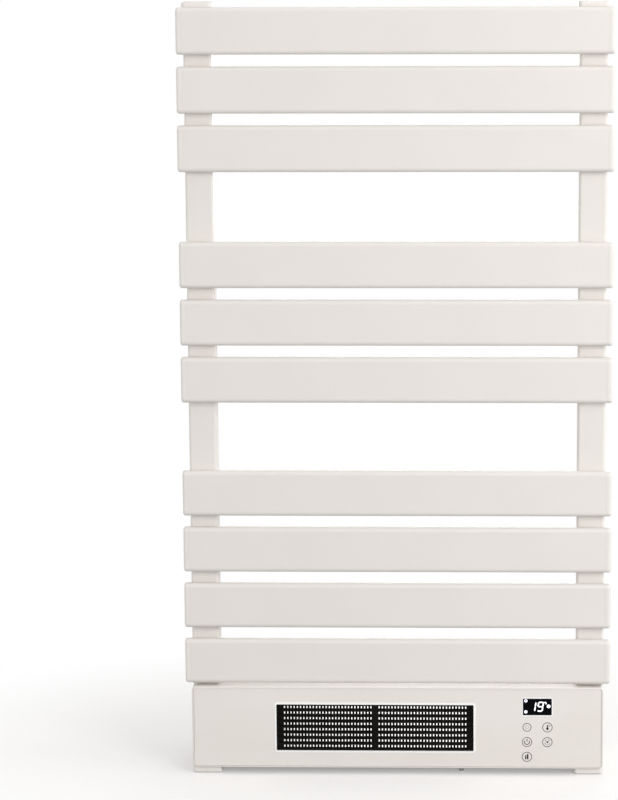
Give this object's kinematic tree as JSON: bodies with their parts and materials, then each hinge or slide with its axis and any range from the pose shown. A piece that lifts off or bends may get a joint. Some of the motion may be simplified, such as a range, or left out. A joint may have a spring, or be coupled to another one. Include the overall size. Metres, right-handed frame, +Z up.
{
  "type": "towel warmer",
  "caption": "Free-standing electric towel warmer: flat heated crossbars on square posts above a fan-heater base with an outlet grille, a display window and touch keys.",
  "frame": {"origin": "on the floor, below the middle of the overall box", "axes": "+X along the crossbars, to the right seen from the front; -Y is the front; +Z is up"},
  "size_m": [0.5, 0.12, 0.906],
  "materials": {
    "rail_coat": "satin",
    "cap_plastic": "satin",
    "housing_coat": "satin",
    "panel_plastic": "satin",
    "foot_plastic": "matte",
    "black_plastic": "satin",
    "dark_insulator": "matte",
    "display_glass": "gloss",
    "fin_aluminium": "satin",
    "zinc_steel": "satin",
    "galvanised_sheet": "satin",
    "core_steel": "matte",
    "copper": "satin",
    "bronze": "satin",
    "wire_rubber": "matte",
    "circuit_board": "satin",
    "plunger_plastic": "matte"
  },
  "bodies": {
    "frame": {"left_post": "rail_coat", "right_post": "rail_coat", "crossbar_01": "rail_coat", "crossbar_02": "rail_coat", "crossbar_03": "rail_coat", "crossbar_04": "rail_coat", "crossbar_05": "rail_coat", "crossbar_06": "rail_coat", "crossbar_07": "rail_coat", "crossbar_08": "rail_coat", "crossbar_09": "rail_coat", "crossbar_10": "rail_coat", "bar_end_caps": "cap_plastic", "post_caps": "cap_plastic", "housing_sleeve": "housing_coat", "rear_cover": "housing_coat", "front_panel": "panel_plastic", "outlet_bezel": "panel_plastic", "left_foot": "foot_plastic", "right_foot": "foot_plastic", "outlet_grille": "black_plastic", "rocker_body": "black_plastic", "cable_gland": "black_plastic", "heater_frame": "dark_insulator", "terminal_block": "dark_insulator", "tip_microswitch": "dark_insulator", "thermal_cutout": "dark_insulator", "power_board_parts": "dark_insulator", "display_module": "dark_insulator", "display_window": "display_glass", "heater_fins": "fin_aluminium", "heater_strips": "fin_aluminium", "post_stems": "fin_aluminium", "heating_strips": "fin_aluminium", "bar_screws": "zinc_steel", "bar_inserts": "zinc_steel", "wall_inserts": "zinc_steel", "frame_screws": "zinc_steel", "housing_screws": "zinc_steel", "board_screws": "zinc_steel", "board_standoffs": "zinc_steel", "motor_bracket": "zinc_steel", "tip_guide": "zinc_steel", "tip_spring": "zinc_steel", "blower_plates": "galvanised_sheet", "blower_scroll": "galvanised_sheet", "blower_tongue": "galvanised_sheet", "motor_stator": "core_steel", "motor_coil": "copper", "fan_bushes": "bronze", "heating_leads": "wire_rubber", "post_harness": "wire_rubber", "touch_pads": "wire_rubber", "power_board": "circuit_board", "display_board": "circuit_board"},
    "fan_rotor": {"fan_impeller": "fin_aluminium", "fan_shaft": "zinc_steel", "motor_rotor": "core_steel"},
    "tip_plunger": {"tip_plunger": "plunger_plastic"},
    "rocker": {"rocker_cap": "black_plastic"}
  },
  "joints": [
    {"name": "fan_spin", "type": "hinge", "parent": "frame", "child": "fan_rotor", "pos_m": [-0.0266, 0.00605, 0.057], "axis": [1, 0, 0], "continuous": true},
    {"name": "tip_slide", "type": "slide", "parent": "frame", "child": "tip_plunger", "axis": [0, 0, 1], "range_m": [-0.004, 0], "stiffness_N_per_m": 60, "springref_m": -0.008, "deforming": ["tip_spring"]},
    {"name": "rocker_tilt", "type": "hinge", "parent": "frame", "child": "rocker", "pos_m": [0.1505, 0.052, 0.05725], "axis": [1, 0, 0], "range_deg": [-14, 0]}
  ]
}
